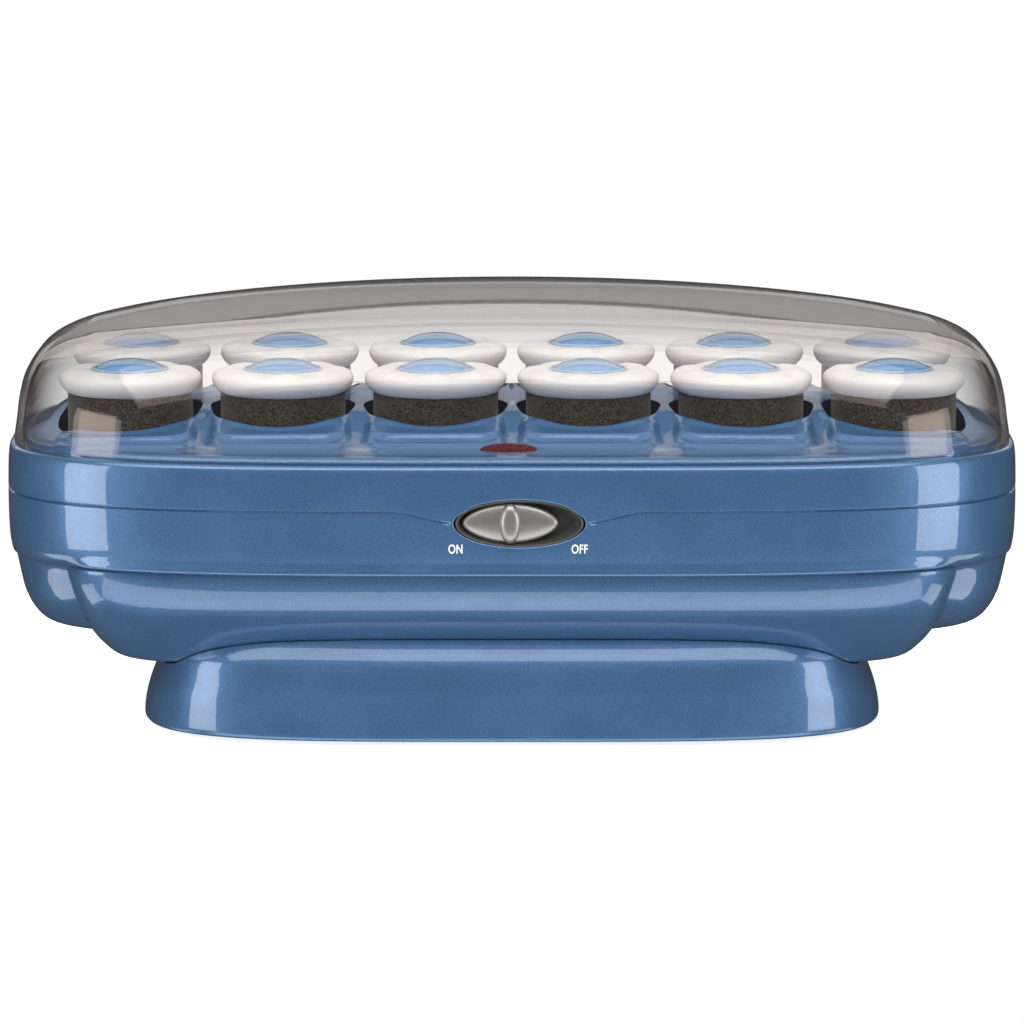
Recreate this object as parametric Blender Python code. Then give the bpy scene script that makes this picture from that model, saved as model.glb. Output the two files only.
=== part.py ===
"""Heated roller set: twelve flocked rollers standing on heated posts under a hinged clear lid.

Metres, +Z up, +X to the object's right, -Y to its front, origin on the table under the middle.
"""
import math

import bmesh
import bpy
from mathutils import Matrix, Vector

MM = 0.001
GAP = 0.3 * MM
PAST = 10.0 * MM  # how far a cutter runs past the face that it cuts

# Housing, from the seam under the lid down to the table
RING_POINTS = 36
BODY_POWER = 3.6
WALL = 2.5 * MM
SEAM_Z = 87.0 * MM
CASING_BOTTOM_Z = 23.0 * MM
PEDESTAL_BOTTOM_Z = 1.0 * MM
SKIRT_CUT_X = 118.0 * MM
SKIRT_FLOOR_DEPTH = 30.0 * MM

# Each outline below is (half width, half depth, height) in mm, from the top down
BAND_OUTLINES = [
    (153.2, 80.4, 86.85),
    (154.0, 81.2, 83.0),
    (154.3, 81.6, 75.0),
    (154.3, 81.6, 65.0),
    (153.8, 80.8, 57.0),
    (153.0, 79.2, 53.6),
]
SKIRT_OUTLINES = [
    (152.9, 46.0, 53.3),
    (151.9, 44.5, 43.5),
    (149.4, 42.0, 35.0),
    (147.0, 39.5, 31.2),
    (143.4, 36.0, 29.0),
    (139.0, 33.0, 28.3),
]
CASING_OUTLINES = [
    (136.0, 72.0, 53.0),
    (135.6, 71.0, 45.5),
    (134.0, 67.0, 38.5),
    (131.0, 61.0, 32.5),
    (126.5, 55.5, 27.4),
    (121.0, 51.0, 24.2),
    (113.0, 46.0, 23.0),
]
CASING_POWER = 5.0
PEDESTAL_OUTLINES = [
    (90.0, 46.0, 33.6),
    (96.0, 54.0, 33.2),
    (102.0, 57.5, 28.5),
    (107.6, 60.0, 22.5),
    (112.0, 61.2, 14.0),
    (112.6, 61.5, 7.0),
    (110.5, 60.5, 1.0),
]
PEDESTAL_POWER = 3.8

# Lid: inset from its rim across and along, and rise as a share of the crown's height
LID_RIM = (152.4 * MM, 79.4 * MM)
LID_WALL = 2.0 * MM
LID_CROWN_Z = 129.5 * MM
LID_CROWN_RADIUS = 950.0 * MM
LID_STEPS = [
    (0.0, 0.0, 0.0),
    (0.9, 2.0, 0.20),
    (1.8, 4.4, 0.42),
    (3.6, 7.8, 0.63),
    (7.7, 13.0, 0.815),
    (14.2, 20.5, 0.915),
    (22.5, 30.0, 0.962),
]
LID_TOP_SHARES = [0.66, 0.30]

# Deck inside the lid's rim, top surface from the rim to the plateau
DECK_OUTLINES = [
    (149.4, 75.8, 87.4),
    (148.4, 62.0, 88.0),
    (147.0, 57.0, 89.2),
    (145.0, 51.0, 92.4),
    (141.5, 42.0, 95.6),
    (132.0, 31.0, 96.6),
]
DECK_EDGE = 2.2 * MM
DECK_CORE = (144.0 * MM, 56.0 * MM, 82.0 * MM)
WELL_RADIUS = 22.0 * MM
WELL_POINTS = 24

# Rollers in two rows on the heater tray's posts
ROUND_POINTS = 14
ROLLER_COLUMNS = 6
ROLLER_PITCH = 46.5 * MM
ROW_Y = 24.0 * MM
BACK_ROW_RISE = 1.9 * MM
BARREL_RADIUS = 19.0 * MM
BORE_RADIUS = 10.4 * MM
BARREL_BOTTOM_Z = 59.8 * MM
BARREL_TOP_Z = 99.1 * MM
CAP_PROFILE = [
    (18.9, 99.4),
    (19.1, 102.3),
    (21.5, 105.2),
    (20.4, 107.1),
    (12.0, 107.7),
    (12.0, 106.4),
]
DOME_PROFILE = [
    (11.6, 106.7),
    (11.6, 107.8),
    (6.0, 110.2),
]

# Heater tray and the parts under it
TRAY_HALF = (141.0 * MM, 49.0 * MM)
TRAY_TOP_Z = 58.6 * MM
TRAY_THICKNESS = 2.2 * MM
POST_RADIUS = 9.6 * MM
POST_POINTS = 10
POST_TOP_Z = 95.0 * MM
POST_SHOULDER = (14.0 * MM, 0.9 * MM)
ELEMENT_RADIUS = 3.0 * MM
ELEMENT_Z = 52.6 * MM
ELEMENT_LOOP = (108.0 * MM, 24.0 * MM)
THERMOSTAT_PROFILE = [(7.5, 47.5), (7.5, 54.0), (5.5, 54.4), (5.5, 56.0)]
FUSE_RADIUS = 2.2 * MM
FUSE_SPAN = (28.0 * MM, 52.0 * MM)
FUSE_Z = 52.0 * MM
TERMINAL_LOW = (44.0 * MM, 30.0 * MM, 27.0 * MM)
TERMINAL_HIGH = (76.0 * MM, 44.0 * MM, 36.0 * MM)

# Hinge along the lid's rear edge
HINGE_X = 50.0 * MM
HINGE_Y = 79.0 * MM
HINGE_Z = 87.6 * MM
KNUCKLE_RADIUS = 2.6 * MM
LID_KNUCKLE = 14.0 * MM
HOUSING_KNUCKLE = 6.0 * MM
PIN_RADIUS = 1.2 * MM
PIN_BORE_RADIUS = 1.55 * MM

# Slide switch in the front of the band, and the lamp on the deck's front slope
SWITCH_X = 2.2 * MM
SWITCH_Z = 69.4 * MM
SWITCH_FACE_Y = -80.0 * MM
APERTURE_HALF = (19.2 * MM, 7.4 * MM)
KNOB_HALF = (14.3 * MM, 6.1 * MM)
KNOB_OFFSET = -2.75 * MM
GRIP_HALF = (3.1 * MM, 6.0 * MM)
LAMP_PLACE = (-1.0 * MM, -58.5 * MM, 88.9 * MM)
LAMP_HALF = (8.4 * MM, 3.1 * MM)
LAMP_TILT = math.radians(17.0)

# Feet and fasteners
FOOT_PLACE = (82.0 * MM, 40.0 * MM)
FOOT_RADIUS = 8.0 * MM
FOOT_HEIGHT = 1.9 * MM
CORD_PLACE = (60.0 * MM, 0.0, 45.5 * MM)
CORD_HOLE_RADIUS = 5.3 * MM
BUSHING_PROFILE = [
    (7.0, 57.5),
    (7.0, 60.5),
    (5.0, 60.5),
    (5.0, 71.2),
    (6.6, 72.6),
    (5.2, 74.0),
    (5.8, 76.0),
    (4.4, 80.6),
]
SCREW_X = 62.0 * MM
SCREW_RADIUS = 1.6 * MM
SCREW_HEAD_RADIUS = 3.0 * MM
SCREW_SEAT = 2.0 * MM
SCREW_TOP_Z = 30.0 * MM
PILLAR_RADIUS = 5.0 * MM


def clear_scene():
    for thing in list(bpy.data.objects):
        bpy.data.objects.remove(thing, do_unlink=True)


def finish(name, color, roughness, metallic=0.0, alpha=1.0):
    material = bpy.data.materials.new(name)
    material.use_nodes = True
    shader = material.node_tree.nodes["Principled BSDF"]
    shader.inputs["Base Color"].default_value = (*color, 1.0)
    shader.inputs["Roughness"].default_value = roughness
    shader.inputs["Metallic"].default_value = metallic
    shader.inputs["Alpha"].default_value = alpha
    return material


def signed_power(value, power):
    return math.copysign(abs(value) ** power, value)


def ring(half_width, half_depth, height, power=2.0, points=RING_POINTS):
    """Points of a superellipse around Z; height is a number, or a function of x."""
    corners = []
    for i in range(points):
        angle = 2 * math.pi * (i + 0.5) / points
        x = half_width * signed_power(math.cos(angle), 2 / power)
        y = half_depth * signed_power(math.sin(angle), 2 / power)
        corners.append(Vector((x, y, height(x) if callable(height) else height)))
    return corners


def rings_of(outlines, power=BODY_POWER, inset=0.0, rise=0.0):
    """Rings for a table of outlines in mm, drawn in by inset and lifted by rise (metres)."""
    return [ring(a * MM - inset, b * MM - inset, z * MM + rise, power) for a, b, z in outlines]


def add_object(name, bm, material=None):
    bmesh.ops.recalc_face_normals(bm, faces=bm.faces)
    mesh = bpy.data.meshes.new(name)
    bm.to_mesh(mesh)
    bm.free()
    mesh.shade_smooth()
    mesh.set_sharp_from_angle(angle=math.radians(35))
    thing = bpy.data.objects.new(name, mesh)
    bpy.context.scene.collection.objects.link(thing)
    if material:
        mesh.materials.append(material)
    return thing


def skin(bm, rings, closed=False):
    """Join rings of equal length by bands; the ends get a fan each, or close on each other."""
    rows = [[bm.verts.new(corner) for corner in corners] for corners in rings]
    pairs = list(zip(rows, rows[1:]))
    if closed:
        pairs.append((rows[-1], rows[0]))
    for low, high in pairs:
        for i, corner in enumerate(low):
            after = (i + 1) % len(low)
            bm.faces.new((corner, low[after], high[after], high[i]))
    if closed:
        return
    for row in (rows[0], rows[-1]):
        middle = bm.verts.new(sum((v.co for v in row), Vector()) / len(row))
        for i, corner in enumerate(row):
            bm.faces.new((corner, row[(i + 1) % len(row)], middle))


def loft(name, rings, material=None, closed=False):
    bm = bmesh.new()
    skin(bm, rings, closed)
    return add_object(name, bm, material)


def disc(radius, height, points=ROUND_POINTS):
    return ring(radius, radius, height, points=points)


def turned(name, profile, material=None, closed=False):
    """A body of revolution about Z from (radius, height) pairs in metres."""
    return loft(name, [disc(radius, height) for radius, height in profile], material, closed)


def turned_at(name, bodies, points=ROUND_POINTS):
    """One mesh of several bodies of revolution, each (x, y, profile)."""
    bm = bmesh.new()
    for x, y, profile in bodies:
        shift = Vector((x, y, 0))
        rings = [disc(radius, height, points) for radius, height in profile]
        skin(bm, [[corner + shift for corner in corners] for corners in rings])
    return add_object(name, bm)


def box(name, low, high, material=None, bevel=0.0):
    bm = bmesh.new()
    bmesh.ops.create_cube(bm, size=1.0)
    low = Vector(low)
    high = Vector(high)
    for corner in bm.verts:
        corner.co = low + (high - low) * 0.5 + Vector(
            [c * s for c, s in zip(corner.co, high - low)]
        )
    if bevel:
        bmesh.ops.bevel(bm, geom=bm.edges[:], offset=bevel, segments=2, affect="EDGES")
    return add_object(name, bm, material)


def bars_along_x(name, radius, spans, y, z, material=None):
    """One mesh of round bars on a line along X, each from x_low to x_high."""
    bodies = [(0, 0, [(radius, x_low), (radius, x_high)]) for x_low, x_high in spans]
    bars = turned_at(name, bodies)
    bars.data.transform(Matrix.Translation((0, y, z)) @ Matrix.Rotation(math.pi / 2, 4, "Y"))
    if material:
        bars.data.materials.append(material)
    return bars


def hinge_bars(name, radius, spans, material=None):
    return bars_along_x(name, radius, spans, HINGE_Y, HINGE_Z, material)


def apply(thing, tool, operation):
    """Cut, join or intersect a body with a helper, which stays in the scene as a wire."""
    step = thing.modifiers.new(f"{operation.lower()}_{tool.name}", "BOOLEAN")
    step.operation = operation
    step.solver = "EXACT"
    step.object = tool
    tool.hide_render = True
    tool.display_type = "WIRE"
    return thing


def cut(thing, *tools):
    for tool in tools:
        apply(thing, tool, "DIFFERENCE")


def join(thing, *tools):
    for tool in tools:
        apply(thing, tool, "UNION")


def set_origin(thing, place):
    """Move an object's origin to a point on its joint's axis, leaving its shape in place."""
    thing.data.transform(Matrix.Translation(-Vector(place)))
    thing.location = place


def roller_places():
    """(name, x, y, rise) of each roller, front row first, left to right."""
    number = 0
    for y, rise in ((-ROW_Y, 0.0), (ROW_Y, BACK_ROW_RISE)):
        for column in range(ROLLER_COLUMNS):
            number += 1
            x = (column - (ROLLER_COLUMNS - 1) / 2) * ROLLER_PITCH
            yield f"roller_{number:02d}", x, y, rise


def crown_height(x):
    return LID_CROWN_Z - (LID_CROWN_RADIUS - math.sqrt(LID_CROWN_RADIUS**2 - x * x))


def lid_rings(wall):
    """Rings of the lid's outer face, or of its inner face one wall thickness in, rim upwards."""
    rings = []

    def add(half_width, half_depth, share):
        def height(x):
            return SEAM_Z + GAP / 2 + share * (crown_height(x) - wall - SEAM_Z)

        rings.append(ring(half_width - wall, half_depth - wall, height, BODY_POWER))

    for across, along, share in LID_STEPS:
        add(LID_RIM[0] - across * MM, LID_RIM[1] - along * MM, share)
    last_across, last_along, last_share = LID_STEPS[-1]
    for size in LID_TOP_SHARES:
        half_width = (LID_RIM[0] - last_across * MM) * size
        half_depth = (LID_RIM[1] - last_along * MM) * size
        add(half_width, half_depth, 1 - (1 - last_share) * size * size)
    return rings


def lid_spans(longer=0.0):
    """(x_low, x_high) of the lid's two knuckles, each end moved out by longer."""
    half = LID_KNUCKLE / 2 + longer
    return [(x - half, x + half) for x in (-HINGE_X, HINGE_X)]


def housing_spans(inner, outer):
    """Spans of the housing's four knuckles, counted outward from the ends of the lid's."""
    spans = []
    for low, high in lid_spans():
        spans.append((low - outer, low - inner))
        spans.append((high + inner, high + outer))
    return spans


def make_lid(material):
    inner = lid_rings(LID_WALL)
    lid = loft("lid", inner[::-1] + lid_rings(0.0), material)
    notches = housing_spans(-GAP, HOUSING_KNUCKLE + 2 * GAP)
    cut(lid, hinge_bars("lid_notches", KNUCKLE_RADIUS + 1.5 * GAP, notches))
    join(lid, hinge_bars("lid_knuckles", KNUCKLE_RADIUS, lid_spans()))
    cut(lid, hinge_bars("lid_pin_holes", PIN_BORE_RADIUS, lid_spans(2 * GAP)))
    set_origin(lid, (0, HINGE_Y, HINGE_Z))


def make_upper_housing(material):
    outer = rings_of(BAND_OUTLINES) + rings_of(SKIRT_OUTLINES)
    last = SKIRT_OUTLINES[-1]
    floor_low = ring(SKIRT_CUT_X, SKIRT_FLOOR_DEPTH, last[2] * MM, BODY_POWER)
    floor_high = ring(SKIRT_CUT_X, SKIRT_FLOOR_DEPTH, last[2] * MM + WALL, BODY_POWER)
    inner_skirt = rings_of(SKIRT_OUTLINES, inset=WALL, rise=WALL)
    inner_band = rings_of(BAND_OUTLINES, inset=WALL)
    ledge = BAND_OUTLINES[-1]
    shelf = ring(ledge[0] * MM - WALL, ledge[1] * MM - WALL, ledge[2] * MM + WALL, BODY_POWER)
    inner = [floor_high, *inner_skirt[::-1], shelf, *inner_band[-3::-1]]
    housing = loft("upper_housing", [*outer, floor_low, *inner], material, closed=True)
    reach = BAND_OUTLINES[0][1] * MM + PAST
    bay = box(
        "skirt_bay",
        (-SKIRT_CUT_X, -reach, 0),
        (SKIRT_CUT_X, reach, SKIRT_OUTLINES[0][2] * MM),
    )
    grown = rings_of(CASING_OUTLINES, CASING_POWER, inset=-GAP)
    half_width, half_depth, _ = CASING_OUTLINES[0]
    ceiling_z = SKIRT_OUTLINES[0][2] * MM
    top = ring(half_width * MM + GAP, half_depth * MM + GAP, ceiling_z, CASING_POWER)
    bottom = [corner - Vector((0, 0, PAST)) for corner in grown[-1]]
    casing_room = loft("casing_room", [top, *grown, bottom])
    cut(housing, bay, casing_room)
    aperture = loft(
        "switch_aperture",
        [
            ring(APERTURE_HALF[0], APERTURE_HALF[1], -PAST, points=24),
            ring(APERTURE_HALF[0], APERTURE_HALF[1], PAST, points=24),
        ],
    )
    turn_to_front(aperture, SWITCH_X)
    cut(housing, aperture)
    cut(housing, hinge_bars("housing_pockets", KNUCKLE_RADIUS + 1.5 * GAP, lid_spans(2 * GAP)))
    knuckles = housing_spans(GAP, GAP + HOUSING_KNUCKLE)
    join(housing, hinge_bars("housing_knuckles", KNUCKLE_RADIUS, knuckles))
    pin_holes = lid_spans(2 * GAP + HOUSING_KNUCKLE)
    cut(housing, hinge_bars("housing_pin_holes", PIN_BORE_RADIUS, pin_holes))


def make_hinge_pins(material):
    for side, span in zip(("left", "right"), lid_spans(HOUSING_KNUCKLE)):
        hinge_bars(f"hinge_pin_{side}", PIN_RADIUS, [span], material)


def make_lower_casing(material):
    outer = rings_of(CASING_OUTLINES, CASING_POWER)
    inner = rings_of(CASING_OUTLINES, CASING_POWER, inset=WALL)
    lifted = [[corner + Vector((0, 0, WALL)) for corner in corners] for corners in inner[1:]]
    casing = loft("lower_casing", [*lifted[::-1], inner[0], *outer], material)
    hole = [(SCREW_RADIUS + GAP, CASING_BOTTOM_Z / 2), (SCREW_RADIUS + GAP, 2 * CASING_BOTTOM_Z)]
    cut(casing, turned_at("screw_holes", [(x, 0, hole) for x in (-SCREW_X, SCREW_X)]))
    depth = CASING_OUTLINES[0][1] * MM
    outlet = turned(
        "cord_hole",
        [(CORD_HOLE_RADIUS, depth - 3 * PAST), (CORD_HOLE_RADIUS, depth + PAST)],
    )
    outlet.data.transform(cord_frame())
    cut(casing, outlet)


def cord_frame():
    """Places a body made along +Z at the cord outlet, pointing to the rear."""
    return Matrix.Translation(CORD_PLACE) @ Matrix.Rotation(-math.pi / 2, 4, "X")


def make_pedestal(material):
    outer = rings_of(PEDESTAL_OUTLINES, PEDESTAL_POWER)
    inner = rings_of(PEDESTAL_OUTLINES[2:-1], PEDESTAL_POWER, inset=WALL)
    floor_z = PEDESTAL_BOTTOM_Z + 3 * MM
    a, b, _ = PEDESTAL_OUTLINES[-2]
    floor = ring(a * MM - WALL, b * MM - WALL, floor_z, PEDESTAL_POWER)
    a, b, z = PEDESTAL_OUTLINES[0]
    mouth = ring(a * MM, b * MM, z * MM - 2 * WALL, PEDESTAL_POWER)
    pedestal = loft("pedestal", [floor, *inner[::-1], mouth, *outer], material)
    grown = rings_of(CASING_OUTLINES, CASING_POWER, inset=-GAP, rise=-GAP)
    cradle = loft("cradle_cut", grown)
    cut(pedestal, cradle)
    pillar = [(PILLAR_RADIUS, floor_z - 1.5 * MM), (PILLAR_RADIUS, CASING_BOTTOM_Z - GAP)]
    join(pedestal, turned_at("pillars", [(x, 0, pillar) for x in (-SCREW_X, SCREW_X)]))
    seat_z = PEDESTAL_BOTTOM_Z + SCREW_SEAT
    bore = [
        (SCREW_HEAD_RADIUS + GAP, 0),
        (SCREW_HEAD_RADIUS + GAP, seat_z),
        (SCREW_RADIUS + GAP, seat_z),
        (SCREW_RADIUS + GAP, 2 * CASING_BOTTOM_Z),
    ]
    pocket = [(FOOT_RADIUS + GAP, 0), (FOOT_RADIUS + GAP, FOOT_HEIGHT + GAP)]
    recesses = [(x, 0, bore) for x in (-SCREW_X, SCREW_X)]
    recesses += [(x, y, pocket) for _, x, y in foot_places()]
    cut(pedestal, turned_at("pedestal_recesses", recesses))


def foot_places():
    places = [(sx * FOOT_PLACE[0], sy * FOOT_PLACE[1]) for sy in (-1, 1) for sx in (-1, 1)]
    return [(number, x, y) for number, (x, y) in enumerate(places, 1)]


def make_feet(material):
    edge = 0.4 * MM
    for number, x, y in foot_places():
        foot = turned(
            f"rubber_foot_{number}",
            [(FOOT_RADIUS - edge, 0), (FOOT_RADIUS, edge), (FOOT_RADIUS, FOOT_HEIGHT)],
            material,
        )
        foot.location = (x, y, 0)


def make_screws(material):
    head_top = PEDESTAL_BOTTOM_Z + SCREW_SEAT - GAP
    for side, x in (("left", -SCREW_X), ("right", SCREW_X)):
        screw = turned(
            f"casing_screw_{side}",
            [
                (SCREW_HEAD_RADIUS, PEDESTAL_BOTTOM_Z + GAP),
                (SCREW_HEAD_RADIUS, head_top),
                (SCREW_RADIUS, head_top),
                (SCREW_RADIUS, SCREW_TOP_Z),
            ],
            material,
        )
        screw.location = (x, 0, 0)


def make_deck(material):
    outline = DECK_OUTLINES[0]
    core_width, core_depth, core_z = DECK_CORE
    edge_z = outline[2] * MM - DECK_EDGE
    under = [
        ring(core_width * 0.9, core_depth * 0.8, core_z, BODY_POWER),
        ring(core_width, core_depth, core_z, BODY_POWER),
        ring(core_width, core_depth, edge_z, BODY_POWER),
        ring(outline[0] * MM, outline[1] * MM, edge_z, BODY_POWER),
    ]
    deck = loft("deck", [*under, *rings_of(DECK_OUTLINES)], material)
    well = [(WELL_RADIUS, 0), (WELL_RADIUS, LID_CROWN_Z)]
    wells = [(x, y, well) for _, x, y, _ in roller_places()]
    cut(deck, turned_at("well_cutters", wells, points=WELL_POINTS))
    lamp_hole = loft(
        "lamp_hole",
        [
            ring(LAMP_HALF[0] + GAP, LAMP_HALF[1] + GAP, -1.2 * PAST, 1.7, 24),
            ring(LAMP_HALF[0] + GAP, LAMP_HALF[1] + GAP, 0.6 * PAST, 1.7, 24),
        ],
    )
    lamp_hole.data.transform(lamp_frame())
    cut(deck, lamp_hole)


def lamp_frame():
    return Matrix.Translation(LAMP_PLACE) @ Matrix.Rotation(LAMP_TILT, 4, "X")


def make_lamp(lens_material, glass_material):
    lens = loft(
        "lamp_lens",
        [
            ring(LAMP_HALF[0], LAMP_HALF[1], -2.5 * MM, 1.7, 24),
            ring(LAMP_HALF[0], LAMP_HALF[1], -0.1 * MM, 1.7, 24),
            ring(LAMP_HALF[0] * 0.6, LAMP_HALF[1] * 0.6, 0.5 * MM, 1.7, 24),
        ],
        lens_material,
    )
    lens.data.transform(lamp_frame())
    lamp = turned(
        "neon_lamp",
        [(1.6 * MM, -6 * MM), (2.6 * MM, -4.6 * MM), (2.6 * MM, 4.6 * MM), (1.6 * MM, 6 * MM)],
        glass_material,
    )
    turn = Matrix.Rotation(math.pi / 2, 4, "Y")
    lamp.data.transform(Matrix.Translation((LAMP_PLACE[0], LAMP_PLACE[1], 79 * MM)) @ turn)


def make_rollers(barrel_material, cap_material, dome_material):
    for name, x, y, rise in roller_places():
        barrel = turned(
            f"{name}_barrel",
            [
                (BORE_RADIUS, BARREL_BOTTOM_Z),
                (BARREL_RADIUS, BARREL_BOTTOM_Z),
                (BARREL_RADIUS, BARREL_TOP_Z),
                (BORE_RADIUS, BARREL_TOP_Z),
            ],
            barrel_material,
            closed=True,
        )
        cap = turned(f"{name}_cap", [(r * MM, z * MM) for r, z in CAP_PROFILE], cap_material)
        dome = turned(f"{name}_dome", [(r * MM, z * MM) for r, z in DOME_PROFILE], dome_material)
        for piece in (barrel, cap, dome):
            piece.location = (x, y, rise)


def make_heater_tray(material):
    bottom_z = TRAY_TOP_Z - TRAY_THICKNESS
    tray = loft(
        "heater_tray",
        [ring(*TRAY_HALF, z, 6.0) for z in (bottom_z, TRAY_TOP_Z)],
        material,
    )
    shoulder_radius, shoulder = POST_SHOULDER
    posts = []
    for _, x, y, rise in roller_places():
        seat_z = TRAY_TOP_Z + shoulder + rise
        profile = [
            (shoulder_radius, TRAY_TOP_Z - TRAY_THICKNESS / 2),
            (shoulder_radius, seat_z),
            (POST_RADIUS, seat_z),
            (POST_RADIUS, POST_TOP_Z),
        ]
        posts.append((x, y, profile))
    join(tray, turned_at("posts", posts, points=POST_POINTS))


def make_heating_element(material):
    """A round sheathed element, bent to a long U under the tray with its ends turned down."""
    half_width, half_depth = ELEMENT_LOOP
    path = [Vector((-half_width, -half_depth, ELEMENT_Z - 12 * MM))]
    path.append(Vector((-half_width, -half_depth, ELEMENT_Z)))
    for i in range(7):
        angle = -math.pi / 2 + math.pi * i / 6
        x = half_width - half_depth + half_depth * math.cos(angle)
        path.append(Vector((x, half_depth * math.sin(angle), ELEMENT_Z)))
    path.append(Vector((-half_width, half_depth, ELEMENT_Z)))
    path.append(Vector((-half_width, half_depth, ELEMENT_Z - 12 * MM)))
    rings = []
    for i, place in enumerate(path):
        before = path[max(i - 1, 0)]
        after = path[min(i + 1, len(path) - 1)]
        along = (after - before).normalized()
        turn = Vector((0, 0, 1)).rotation_difference(along).to_matrix()
        rings.append([place + turn @ corner for corner in disc(ELEMENT_RADIUS, 0, 10)])
    loft("heating_element", rings, material)


def make_controls(plastic, ceramic):
    turned("thermostat", [(r * MM, z * MM) for r, z in THERMOSTAT_PROFILE], plastic)
    bars_along_x("thermal_fuse", FUSE_RADIUS, [FUSE_SPAN], 0, FUSE_Z, ceramic)
    box("terminal_block", TERMINAL_LOW, TERMINAL_HIGH, plastic, bevel=1.0 * MM)


def make_cord_bushing(material):
    bushing = turned("cord_bushing", [(r * MM, y * MM) for r, y in BUSHING_PROFILE], material)
    bushing.data.transform(cord_frame())


def turn_to_front(thing, x):
    """Stand a body made along +Z in the switch's place, its top facing -Y."""
    turn = Matrix.Rotation(math.pi / 2, 4, "X")
    thing.data.transform(Matrix.Translation((x, SWITCH_FACE_Y, SWITCH_Z)) @ turn)


def make_switch(bezel_material, knob_material, body_material):
    width, height = APERTURE_HALF
    bezel_profile = [
        (width - 3 * GAP, height - 3 * GAP, -4.0 * MM),
        (width - GAP, height - GAP, -4.0 * MM),
        (width - GAP, height - GAP, 0.8 * MM),
        (width - 2.6 * GAP, height - 2.6 * GAP, 0.8 * MM),
        (width - 2.6 * GAP, height - 2.6 * GAP, -2.6 * MM),
        (width - 10 * GAP, height - 10 * GAP, -2.6 * MM),
    ]
    bezel = loft(
        "switch_bezel",
        [ring(a, b, z, points=24) for a, b, z in bezel_profile],
        bezel_material,
    )
    slot = box("stem_slot", (-9 * MM, -2.2 * MM, -6 * MM), (9 * MM, 2.2 * MM, 0))
    turn_to_front(slot, SWITCH_X)
    turn_to_front(bezel, SWITCH_X)
    cut(bezel, slot)

    knob_width, knob_height = KNOB_HALF
    knob = loft(
        "power_slider",
        [
            ring(knob_width, knob_height, -2.2 * MM, points=24),
            ring(knob_width, knob_height, -0.6 * MM, points=24),
            ring(knob_width * 0.86, knob_height * 0.84, 0.5 * MM, points=24),
            ring(knob_width * 0.5, knob_height * 0.5, 1.2 * MM, points=24),
        ],
        knob_material,
    )
    grip = loft(
        "grip_ridge",
        [
            ring(GRIP_HALF[0], GRIP_HALF[1], -1.0 * MM, points=ROUND_POINTS),
            ring(GRIP_HALF[0], GRIP_HALF[1], 0.6 * MM, points=ROUND_POINTS),
            ring(GRIP_HALF[0] * 0.6, GRIP_HALF[1] * 0.8, 2.4 * MM, points=ROUND_POINTS),
        ],
    )
    stem = box("slider_stem", (-3 * MM, -1.8 * MM, -6.5 * MM), (3 * MM, 1.8 * MM, -1.5 * MM))
    for piece in (knob, grip, stem):
        turn_to_front(piece, SWITCH_X + KNOB_OFFSET)
    join(knob, grip, stem)
    set_origin(knob, (SWITCH_X + KNOB_OFFSET, SWITCH_FACE_Y, SWITCH_Z))

    body_low = (SWITCH_X - 14 * MM, SWITCH_FACE_Y + 7 * MM, SWITCH_Z - 7 * MM)
    body_high = (SWITCH_X + 14 * MM, SWITCH_FACE_Y + 20 * MM, SWITCH_Z + 7 * MM)
    box("switch_body", body_low, body_high, body_material, bevel=0.8 * MM)


def main():
    clear_scene()
    pearl_blue = finish("pearl_blue", (0.045, 0.115, 0.235), 0.28, metallic=0.35)
    gloss_blue = finish("gloss_blue", (0.05, 0.15, 0.32), 0.15)
    smoked = finish("smoked_clear", (0.30, 0.27, 0.25), 0.05, alpha=0.35)
    flock = finish("flock", (0.045, 0.040, 0.034), 0.95)
    cap_white = finish("cap_white", (0.80, 0.78, 0.75), 0.4)
    satin = finish("satin_silver", (0.42, 0.39, 0.37), 0.35, metallic=0.7)
    dark = finish("dark_plastic", (0.04, 0.042, 0.038), 0.5)
    red = finish("red_lens", (0.20, 0.01, 0.012), 0.15)
    steel = finish("steel", (0.6, 0.6, 0.6), 0.3, metallic=1.0)
    aluminium = finish("cast_aluminium", (0.55, 0.56, 0.57), 0.45, metallic=1.0)
    ceramic = finish("ceramic", (0.75, 0.72, 0.66), 0.5)
    rubber = finish("rubber", (0.03, 0.03, 0.03), 0.8)
    glass = finish("clear_glass", (0.9, 0.6, 0.4), 0.05, alpha=0.4)

    make_lid(smoked)
    make_upper_housing(pearl_blue)
    make_hinge_pins(steel)
    make_lower_casing(pearl_blue)
    make_pedestal(pearl_blue)
    make_feet(rubber)
    make_screws(steel)
    make_deck(gloss_blue)
    make_lamp(red, glass)
    make_rollers(flock, cap_white, gloss_blue)
    make_heater_tray(aluminium)
    make_heating_element(steel)
    make_controls(dark, ceramic)
    make_cord_bushing(rubber)
    make_switch(dark, satin, dark)


main()
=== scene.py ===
"""Looks of the heated roller set: surfaces, finishes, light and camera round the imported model.

Metres, +Z up, +X to the object's right, -Y to its front. Tables of outlines are in millimetres.
"""
import math

import bmesh
import bpy
import numpy as np
from mathutils import Matrix, Vector


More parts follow.
